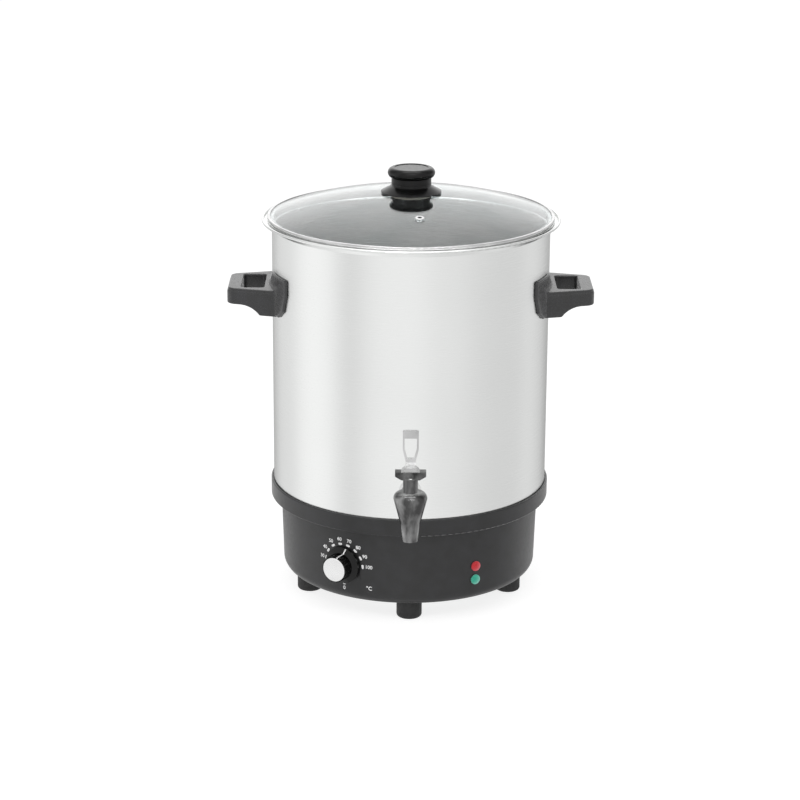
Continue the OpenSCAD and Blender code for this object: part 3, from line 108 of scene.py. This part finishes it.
class Graph:
    """Shader nodes, made and linked by name."""

    def __init__(self, tree):
        self.tree = tree

    def node(self, kind, **settings):
        made = self.tree.nodes.new(kind)
        for key, value in settings.items():
            setattr(made, key, value)
        return made

    def link(self, source, target):
        self.tree.links.new(source, target)

    def math(self, operation, a, b=0.0):
        made = self.node("ShaderNodeMath", operation=operation)
        for socket, value in zip(made.inputs, (a, b)):
            if isinstance(value, (int, float)):
                socket.default_value = value
            else:
                self.link(value, socket)
        return made.outputs[0]

    def scaled(self, scale, vector):
        made = self.node("ShaderNodeVectorMath", operation="MULTIPLY")
        self.link(vector, made.inputs[0])
        made.inputs[1].default_value = scale
        return made.outputs[0]

    def split(self, vector):
        made = self.node("ShaderNodeSeparateXYZ")
        self.link(vector, made.inputs[0])
        return made.outputs

    def span(self, value, low, high, start=0.3, end=0.7, **settings):
        made = self.node("ShaderNodeMapRange", **settings)
        self.link(value, made.inputs["Value"])
        for key, number in (("From Min", start), ("From Max", end), ("To Min", low), ("To Max", high)):
            made.inputs[key].default_value = number
        return made.outputs["Result"]

    def mixed(self, factor, first, second):
        made = self.node("ShaderNodeMixShader")
        for socket, value in zip(made.inputs, (factor, first, second)):
            self.link(value, socket)
        return made.outputs[0]


class Surface(Graph):
    """A material's nodes, placed by the object's own coordinates."""

    def __init__(self, name):
        self.material = bpy.data.materials.new(name)
        self.material.use_nodes = True
        super().__init__(self.material.node_tree)
        self.bsdf = self.tree.nodes["Principled BSDF"]
        self.place = self.node("ShaderNodeTexCoord").outputs["Object"]

    def noise(self, scale, detail=3.0, stretch=None, vector=None):
        made = self.node("ShaderNodeTexNoise")
        made.inputs["Scale"].default_value = scale
        made.inputs["Detail"].default_value = detail
        source = vector or self.place
        if stretch:
            source = self.scaled(stretch, source)
        self.link(source, made.inputs["Vector"])
        return made.outputs["Fac"]

    def around(self):
        """A vector of (azimuth, radius, height) about the vessel's axis."""
        x, place_y, z = self.split(self.place)
        y = self.math("SUBTRACT", place_y, AXIS_Y * MM)
        azimuth = self.math("ARCTAN2", x, self.math("MULTIPLY", y, -1.0))
        squares = self.math("ADD", self.math("MULTIPLY", x, x), self.math("MULTIPLY", y, y))
        join = self.node("ShaderNodeCombineXYZ")
        for socket, value in zip(join.inputs, (azimuth, self.math("SQRT", squares), z)):
            self.link(value, socket)
        return join.outputs[0]

    def colour(self, value, *stops):
        """The base colour, along a ramp of (place, colour) stops."""
        made = self.node("ShaderNodeValToRGB")
        ends = made.color_ramp.elements
        while len(ends) < len(stops):
            ends.new(0.5)
        for end, (at, colour) in zip(ends, stops):
            end.position = at
            end.color = colour
        self.link(value, made.inputs["Fac"])
        self.link(made.outputs["Color"], self.bsdf.inputs["Base Color"])

    def roughness(self, value, *limits):
        self.link(self.span(value, *limits), self.bsdf.inputs["Roughness"])

    def bump(self, strength, depth, height):
        made = self.node("ShaderNodeBump")
        made.inputs["Strength"].default_value = strength
        made.inputs["Distance"].default_value = depth
        self.link(height, made.inputs["Height"])
        self.link(made.outputs["Normal"], self.bsdf.inputs["Normal"])

    def set(self, **values):
        for key, value in values.items():
            self.bsdf.inputs[key.replace("_", " ")].default_value = value


def moulded(name, dark, light, rough=(0.3, 0.45), grain=2600.0, relief=0.25, **values):
    """Moulded plastic or rubber: a fine grain, faint mottling and a roughness that varies."""
    g = Surface(name)
    g.colour(g.noise(60.0, 4.0), (0.3, dark), (0.7, light))
    g.roughness(g.noise(240.0, 3.0), *rough)
    g.bump(relief, GRAIN_DEPTH, g.noise(grain, 2.0))
    g.set(**values)
    return g.material


def metal(name, dark, light, rough=(0.18, 0.3), lines=(1.0, 1.0, 1.0), scale=900.0):
    """Plain metal with fine drawn or cast marks, stretched along one axis."""
    g = Surface(name)
    marks = g.noise(scale, 3.0, stretch=lines)
    g.colour(g.noise(35.0, 4.0), (0.3, dark), (0.7, light))
    g.roughness(marks, *rough)
    g.bump(0.1, CAST_DEPTH, marks)
    g.set(Metallic=1.0)
    return g.material


def brushed_steel(name, dark, light, rough, anisotropic):
    """Steel satin-finished in turning: hairlines that run round the vessel."""
    g = Surface(name)
    hair = g.noise(1.0, 3.0, stretch=(3.0, 200.0, 2600.0), vector=g.around())
    tone = g.math("ADD", g.math("MULTIPLY", hair, 0.4), g.math("MULTIPLY", g.noise(9.0, 3.0), 0.6))
    g.colour(tone, (0.3, dark), (0.7, light))
    g.roughness(hair, *rough)
    tangent = g.node("ShaderNodeTangent", direction_type="RADIAL", axis="Z")
    g.link(tangent.outputs[0], g.bsdf.inputs["Tangent"])
    g.bump(0.015, HAIR_DEPTH, hair)
    g.set(Metallic=1.0, Anisotropic=anisotropic)
    return g.material


def clear(name, tint):
    """Tempered glass: almost clear, with faint smears."""
    g = Surface(name)
    g.colour(g.noise(14.0, 4.0), (0.35, tint), (0.65, linear(252, 254, 254)))
    g.roughness(g.noise(30.0, 5.0), 0.0, 0.03, 0.45, 0.8)
    g.set(IOR=1.5, Transmission_Weight=1.0)
    return g.material


def smoked(name, dark, light, root):
    """Polished metal with a cloudy dark finish, paler where it meets the vessel."""
    g = Surface(name)
    y = g.split(g.place)["Y"]
    behind = g.span(y, 0.0, 0.5, TAP_ROOT_Y * MM, (TAP_ROOT_Y + TAP_ROOT_FADE) * MM)
    tone = g.math("ADD", g.noise(70.0, 3.0, stretch=(1.0, 1.0, 0.45)), behind)
    g.colour(tone, (0.36, dark), (0.62, light), (0.9, root))
    g.roughness(g.noise(160.0, 3.0), 0.1, 0.26)
    g.bump(0.2, RIPPLE_DEPTH, g.noise(120.0, 2.0))
    g.set(Metallic=1.0)
    return g.material


def lens(name, deep, bright):
    """A pilot lamp's coloured lens, unlit, with a painted sheen that makes it paler towards its rim."""
    g = Surface(name)
    # Painted sheen: the colour turns paler where the lens faces away from view, mixed with random specks
    weight = g.node("ShaderNodeLayerWeight")
    weight.inputs["Blend"].default_value = 0.35
    rim_sheen_and_speck = g.math("ADD", weight.outputs["Facing"], g.math("MULTIPLY", g.noise(700.0, 2.0), 0.25))
    g.colour(rim_sheen_and_speck, (0.2, deep), (0.75, bright))
    g.roughness(g.noise(300.0), 0.12, 0.25)
    g.bump(0.3, RIPPLE_DEPTH, g.noise(900.0, 1.0))
    g.set(IOR=1.49)
    return g.material


MATERIALS = {
    "steel": brushed_steel("steel", linear(240, 241, 240), linear(244, 245, 244), (0.24, 0.28), 0.5),
    "bright_steel": metal("bright_steel", grey(200), grey(226), (0.1, 0.22), scale=500.0),
    "zinc": metal("zinc", linear(168, 170, 172), linear(198, 200, 202), (0.3, 0.5), scale=400.0),
    "aluminium": metal("aluminium", grey(212), grey(232), (0.28, 0.42), lines=(1.0, 1.0, 0.1)),
    "black_plastic": moulded("black_plastic", grey(32), linear(40, 40, 42), (0.28, 0.38),
                             grain=1800.0, relief=0.15, Sheen_Weight=0.5, Sheen_Roughness=0.28),
    "black_gloss": moulded("black_gloss", grey(8), grey(16), (0.14, 0.24), grain=900.0, relief=0.06,
                           Specular_IOR_Level=0.28),
    "rubber": moulded("rubber", grey(24), grey(40), (0.5, 0.7), grain=1500.0, relief=0.4),
    "silicone": moulded("silicone", linear(196, 190, 180), linear(216, 210, 200), (0.4, 0.55)),
    "glass": clear("glass", linear(236, 243, 243)),
    # The second colour of each lens is its painted sheen towards the rim
    "red_lens": lens("red_lens", linear(196, 26, 38), linear(232, 110, 120)),
    "green_lens": lens("green_lens", linear(40, 168, 140), linear(150, 222, 205)),
    "white_plastic": moulded("white_plastic", grey(214), grey(232), (0.35, 0.5)),
    "chrome": smoked("chrome", grey(80), grey(146), grey(222)),
    "copper": metal("copper", linear(178, 108, 78), linear(208, 140, 104), (0.25, 0.4)),
    "wire": moulded("wire", linear(92, 60, 44), linear(116, 78, 58), (0.4, 0.55)),
    "element": metal("element", linear(96, 90, 84), linear(132, 126, 120), (0.4, 0.6)),
}

# Finishes of single nodes, where the photograph shows them apart from their slot's others
OWN_MATERIALS = {
    "tap_bonnet": smoked("chrome_dark", grey(48), grey(116), grey(116)),
    "tap_lever": metal("lever", grey(190), grey(220), (0.46, 0.6), lines=(1.0, 1.0, 0.06)),
    "knob_cap": metal("dial_cap", grey(240), grey(252), (0.2, 0.32), scale=300.0),
}

for node in NODES.values():
    for held in node.material_slots:
        held.material = MATERIALS.get(held.material.name.split(".")[0], MATERIALS["zinc"])
for name, material in OWN_MATERIALS.items():
    NODES[name].material_slots[0].material = material

# The tap isn't mirrored in the vessel, and the glass casts no shadow on what it covers
for name in ("tap_body", "tap_bonnet", "tap_lever", "tap_lever_pin",
             "tap_plunger", "tap_spring", "tap_seat_cup"):
    NODES[name].visible_glossy = False
NODES["lid_glass"].visible_shadow = False
NODES["lid_glass"].visible_diffuse = False


# Pieces of the part

def placed(thing):
    """Links an object into the scene."""
    bpy.context.scene.collection.objects.link(thing)
    return thing


def add(name, mesh, material, body, replaces=()):
    piece = placed(bpy.data.objects.new(name, mesh))
    mesh.materials.clear()
    mesh.materials.append(material)
    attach(piece, body)
    if replaces:
        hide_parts(*replaces)


def filled(name, made):
    """A mesh from what a bmesh holds, which is freed."""
    mesh = bpy.data.meshes.new(name)
    made.normal_update()
    made.to_mesh(mesh)
    made.free()
    return mesh


def applied(piece):
    """The piece's mesh with its modifiers applied."""
    graph = bpy.context.evaluated_depsgraph_get()
    graph.update()
    return bpy.data.meshes.new_from_object(piece.evaluated_get(graph))


def softened(name, source):
    """A copy of a CAD node's mesh with its edges rounded as a mould leaves them."""
    temporary = placed(bpy.data.objects.new(name + "_work", NODES[source].data.copy()))
    remesh = temporary.modifiers.new("voxels", "REMESH")
    remesh.mode = "VOXEL"
    remesh.voxel_size = HANDLE_VOXEL
    smooth = temporary.modifiers.new("smooth", "SMOOTH")
    smooth.factor = 0.5
    smooth.iterations = HANDLE_ROUNDS
    mesh = applied(temporary)
    mesh.name = name
    bpy.data.objects.remove(temporary)
    mesh.shade_smooth()
    return mesh


def wall_r(z):
    """Radius of the base's wall at a height."""
    return WALL_FOOT_R + WALL_FLARE * (z - WALL_FOOT_Z) / WALL_H


def on_wall(x, z):
    """The point of the print x mm along the base's wall and z mm above the dial's axis."""
    r = wall_r(DIAL_Z + z)
    a = math.radians(DIAL_AZ) + x / r
    r += PRINT_PROUD
    return Vector((r * math.sin(a), AXIS_Y - r * math.cos(a), DIAL_Z + z)) * MM


def on_knob(ring, out, aside):
    """A point of the pointer: mm from the dial's axis, out from the wall, and to one side."""
    a, t = math.radians(DIAL_AZ), math.radians(REST_ANGLE)
    x = ring * math.sin(t) + aside * math.cos(t)
    z = ring * math.cos(t) - aside * math.sin(t)
    reach = wall_r(DIAL_Z) + out
    along = Vector((math.cos(a), math.sin(a), 0)) * x
    outward = Vector((math.sin(a), -math.cos(a), 0)) * reach
    return (along + outward + Vector((0, AXIS_Y, DIAL_Z + z))) * MM


def wrapped(name, outlines):
    """Flat print, given as lists of (x, z) faces in mm round the dial, laid on the base's wall."""
    made = bmesh.new()
    for outline in outlines:
        made.faces.new([made.verts.new(on_wall(x, z)) for x, z in outline])
    add(name, filled(name, made), PRINT, "kettle")


def glyphs(text, size, place, bold):
    """The faces of upright lettering centred on a place (x, z)."""
    curve = bpy.data.curves.new("lettering", "FONT")
    curve.body = text
    curve.size = size
    curve.align_x = "CENTER"
    curve.align_y = "CENTER"
    curve.offset = bold
    curve.resolution_u = 4
    holder = placed(bpy.data.objects.new("lettering", curve))
    mesh = applied(holder)
    flat = [(vertex.co.x + place[0], vertex.co.y + place[1]) for vertex in mesh.vertices]
    bpy.data.objects.remove(holder)
    return [[flat[i] for i in face.vertices] for face in mesh.polygons]


def bar(angle, ring, length, width):
    """A rounded bar across the dial's ring at a clockwise angle from the top."""
    a = math.radians(angle)
    out, along = (math.sin(a), math.cos(a)), (math.cos(a), -math.sin(a))
    points = []
    for side, turn in ((1, -90), (-1, 90)):
        for step in range(7):
            t = math.radians(turn + step * 30)
            reach = side * (length - width) / 2 + width / 2 * math.cos(t)
            points.append((reach, width / 2 * math.sin(t)))
    return [tuple(out[i] * (ring + v) + along[i] * u for i in (0, 1)) for u, v in points]


def dial_scale():
    """The marks and numerals round the dial, its zero and its unit."""
    marks = []
    numbers = []
    for reading in range(SCALE_FIRST, SCALE_LAST + 1, SCALE_STEP):
        angle = REST_ANGLE + ANGLE_PER_DEGREE * (reading - REST_READING)
        marks.append(bar(angle, *MARK))
        reach = NUMERAL_RING + (THREE_DIGITS_OUT if reading == SCALE_LAST else 0.0)
        a = math.radians(angle)
        place = (reach * math.sin(a), reach * math.cos(a))
        numbers += glyphs(str(reading), NUMERAL_SIZE, place, NUMERAL_BOLD)
    marks.append(bar(ZERO_ANGLE, *ZERO_MARK))
    numbers += glyphs("0", ZERO_SIZE, ZERO_PLACE, SIGN_BOLD)
    numbers += glyphs("°C", UNIT_SIZE, UNIT_PLACE, SIGN_BOLD)
    wrapped("dial_marks", marks)
    wrapped("dial_numbers", numbers)


def dial_pointer():
    """The white line from the knob's face, down its side and over its skirt."""
    made = bmesh.new()
    edges = [[made.verts.new(on_knob(ring, out, side * POINTER_W / 2)) for side in (-1, 1)]
             for ring, out in POINTER_PATH]
    for (a, b), (c, d) in zip(edges, edges[1:]):
        made.faces.new((a, b, d, c))
    add("dial_pointer", filled("dial_pointer", made), PRINT, "dial")


def lid_band_hem():
    """The rolled lower edge of the lid's band."""
    made = bmesh.new()
    section = []
    for side in range(HEM_SIDES):
        t = 2 * math.pi * side / HEM_SIDES
        point = Vector((HEM_R + HEM_T * math.cos(t), 0, HEM_Z + HEM_T * math.sin(t)))
        section.append(made.verts.new(point * MM))
    edges = [made.edges.new((start, end)) for start, end in zip(section, section[1:] + section[:1])]
    bmesh.ops.spin(made, geom=section + edges, cent=(0, 0, 0), axis=(0, 0, 1),
                   angle=2 * math.pi, steps=HEM_STEPS)
    bmesh.ops.remove_doubles(made, verts=made.verts, dist=0.00001)
    bmesh.ops.translate(made, verts=made.verts, vec=(0, AXIS_Y * MM, 0))
    bmesh.ops.recalc_face_normals(made, faces=made.faces)
    mesh = filled("lid_band_hem", made)
    mesh.shade_smooth()
    polished = metal("hem_steel", grey(240), grey(252), (0.2, 0.3), scale=300.0)
    add("lid_band_hem", mesh, polished, "lid")


def handle_mouldings():
    """Both handles with softened edges, in place of the CAD nodes."""
    plastic = moulded("handle_plastic", grey(46), linear(54, 54, 56), (0.22, 0.32),
                      grain=1800.0, relief=0.1, Sheen_Weight=0.45, Sheen_Roughness=0.3)
    for source in ("handle_left", "handle_right"):
        name = source + "_moulding"
        add(name, softened(name, source), plastic, "kettle", (source,))


PRINT = moulded("dial_print", grey(246), grey(254), (0.45, 0.6), grain=3000.0, relief=0.1)
dial_scale()
dial_pointer()
lid_band_hem()
handle_mouldings()


# Studio

FLOOR_HALF = 30
FLOOR_SHADE = 0.36
FLOOR_GLOW = 0.8

# Strengths of the world's light: on matt surfaces, and the level that gloss sees before the lobes
WORLD_LIGHT = 0.64
GLOSS_LIGHT = 0.8

# Azimuths run from the front (0) to the right (90), in degrees. A lobe has azimuth, elevation,
# the angles from it where it starts and ends to fade, and its strength
LOBES = ((0, 90, 20, 80, 0.2), (180, 24, 10, 50, 0.58), (-125, 35, 8, 42, -0.5), (125, 35, 8, 42, -0.5))

# An upright panel has azimuth, half width and strength
PANELS = ((-85, 30, 0.24), (-53, 14, -0.06), (-14, 34, 0.15), (24, 30, 0.06), (118, 16, 0.09),
          (95, 50, -0.07), (160, 45, -0.1))

# A dark screen low behind the kettle draws the edges of its polished metal
SCREEN = (180, 40, 0.45)
SCREEN_FADE = (-0.06, 0.02)

# The camera of the photograph: angles in radians, and metres from the vessel's axis and above the collar
CAMERA_AZIMUTH = -0.0072
CAMERA_PITCH = 0.3008
CAMERA_YAW = -0.0042
CAMERA_ROLL = 0.006
CAMERA_REACH = 3.0003
CAMERA_RISE = 1.0303
CAMERA_LENS = 110


def floor_material():
    """A pale floor, which the camera sees as white under a faint shadow."""
    g = Surface("studio_floor")
    g.colour(g.noise(3.0), (0.3, grey(236)), (0.7, grey(240)))
    g.set(Roughness=0.9, Specular_IOR_Level=0.0)
    shade = g.node("ShaderNodeBsdfDiffuse")
    shade.inputs["Color"].default_value = (FLOOR_SHADE, FLOOR_SHADE, FLOOR_SHADE, 1)
    glow = g.node("ShaderNodeEmission")
    glow.inputs["Strength"].default_value = FLOOR_GLOW
    joined = g.node("ShaderNodeAddShader")
    g.link(shade.outputs[0], joined.inputs[0])
    g.link(glow.outputs[0], joined.inputs[1])
    path = g.node("ShaderNodeLightPath").outputs
    seen = g.math("MAXIMUM", path["Is Camera Ray"], path["Is Transmission Ray"])
    shader = g.mixed(seen, g.bsdf.outputs[0], joined.outputs[0])
    g.link(shader, g.tree.nodes["Material Output"].inputs["Surface"])
    return g.material


def studio_floor():
    made = bmesh.new()
    bmesh.ops.create_grid(made, x_segments=2, y_segments=2, size=FLOOR_HALF)
    mesh = filled("studio_floor", made)
    mesh.materials.append(floor_material())
    floor = placed(bpy.data.objects.new("studio_floor", mesh))
    floor.visible_glossy = False


def cosine(degrees):
    return math.cos(math.radians(degrees))


def bearing(azimuth, elevation=0):
    """The unit vector to an azimuth and elevation."""
    a, e = math.radians(azimuth), math.radians(elevation)
    return (math.sin(a) * math.cos(e), -math.cos(a) * math.cos(e), math.sin(e))


class Sky(Graph):
    """The world's nodes, by the direction that a ray goes."""

    def __init__(self, tree):
        super().__init__(tree)
        tree.nodes.clear()
        self.direction = self.node("ShaderNodeTexCoord").outputs["Generated"]
        level = self.node("ShaderNodeVectorMath", operation="NORMALIZE")
        self.link(self.scaled((1, 1, 0), self.direction), level.inputs[0])
        self.level = level.outputs[0]

    def facing(self, vector, towards):
        made = self.node("ShaderNodeVectorMath", operation="DOT_PRODUCT")
        self.link(vector, made.inputs[0])
        made.inputs[1].default_value = towards
        return made.outputs["Value"]

    def lobe(self, azimuth, elevation, start, end, amount):
        """Light from one direction of the studio, fading between two angles from it."""
        near = self.facing(self.direction, bearing(azimuth, elevation))
        return self.span(near, 0.0, amount, cosine(end), cosine(start), interpolation_type="SMOOTHSTEP")

    def panel(self, azimuth, half, amount):
        """Light from an upright strip of the studio, fading to both sides."""
        near = self.facing(self.level, bearing(azimuth))
        return self.span(near, 0.0, amount, cosine(half), cosine(half * 0.3))

    def background(self, strength):
        made = self.node("ShaderNodeBackground")
        made.inputs["Color"].default_value = (1, 1, 1, 1)
        if isinstance(strength, float):
            made.inputs["Strength"].default_value = strength
        else:
            self.link(strength, made.inputs["Strength"])
        return made.outputs[0]


def studio_world():
    """A plain light on matt surfaces, shaped walls in gloss and glass, and white for the camera."""
    world = bpy.data.worlds.new("studio")
    bpy.context.scene.world = world
    world.use_nodes = True
    g = Sky(world.node_tree)
    shine = GLOSS_LIGHT
    for lobe in LOBES:
        shine = g.math("ADD", g.lobe(*lobe), shine)
    for panel in PANELS:
        shine = g.math("ADD", shine, g.panel(*panel))
    height = g.split(g.direction)["Z"]
    screen = g.math("MULTIPLY", g.panel(*SCREEN), g.span(height, 1.0, 0.0, *SCREEN_FADE))
    shine = g.math("SUBTRACT", shine, screen)
    path = g.node("ShaderNodeLightPath").outputs
    seen = g.math("MAXIMUM", path["Is Glossy Ray"], path["Is Transmission Ray"])
    lit = g.mixed(seen, g.background(WORLD_LIGHT), g.background(shine))
    shader = g.mixed(path["Is Camera Ray"], lit, g.background(1.0))
    g.link(shader, g.node("ShaderNodeOutputWorld").inputs["Surface"])


def lamp(name, place, aim, size, power, in_gloss=True):
    data = bpy.data.lights.new(name, "AREA")
    data.shape = "RECTANGLE"
    data.size, data.size_y = size
    data.energy = power
    made = placed(bpy.data.objects.new(name, data))
    made.location = place
    made.rotation_euler = (Vector(aim) - Vector(place)).to_track_quat("-Z", "Y").to_euler()
    made.visible_glossy = in_gloss


def studio_lamps():
    """Key and fill only light the object: gloss sees the top lamp, the strip and the world."""
    lamp("key", (-2.2, -2.0, 2.4), (0, 0, 0.25), (1.4, 1.8), 22, in_gloss=False)
    lamp("fill", (2.4, -1.6, 1.8), (0, 0, 0.25), (1.4, 1.8), 12, in_gloss=False)
    lamp("top", (0, 0.2, 3.0), (0, 0, 0.3), (2.0, 1.0), 16)
    lamp("strip", (0, -2.2, 2.4), (0, 0, 0.35), (2.4, 0.12), 8)


def studio_camera():
    """The camera, at the photograph's viewing angle."""
    turn = Matrix.Rotation(CAMERA_AZIMUTH - CAMERA_YAW, 3, "Z")
    right = turn @ Vector((1, 0, 0))
    ahead = turn @ Vector((0, math.cos(CAMERA_PITCH), -math.sin(CAMERA_PITCH)))
    up = turn @ Vector((0, math.sin(CAMERA_PITCH), math.cos(CAMERA_PITCH)))
    across = right * math.cos(CAMERA_ROLL) + up * math.sin(CAMERA_ROLL)
    above = up * math.cos(CAMERA_ROLL) - right * math.sin(CAMERA_ROLL)
    camera = placed(bpy.data.objects.new("camera", bpy.data.cameras.new("camera")))
    camera.data.lens = CAMERA_LENS
    camera.data.sensor_width = 36
    camera.data.clip_end = 100
    place = Matrix((across, above, -ahead)).transposed().to_4x4()
    place.translation = (CAMERA_REACH * math.sin(CAMERA_AZIMUTH),
                         AXIS_Y * MM - CAMERA_REACH * math.cos(CAMERA_AZIMUTH),
                         COLLAR_Z * MM + CAMERA_RISE)
    camera.matrix_world = place
    bpy.context.scene.camera = camera


studio_floor()
studio_world()
studio_lamps()
bpy.context.scene.view_settings.view_transform = "Standard"
studio_camera()
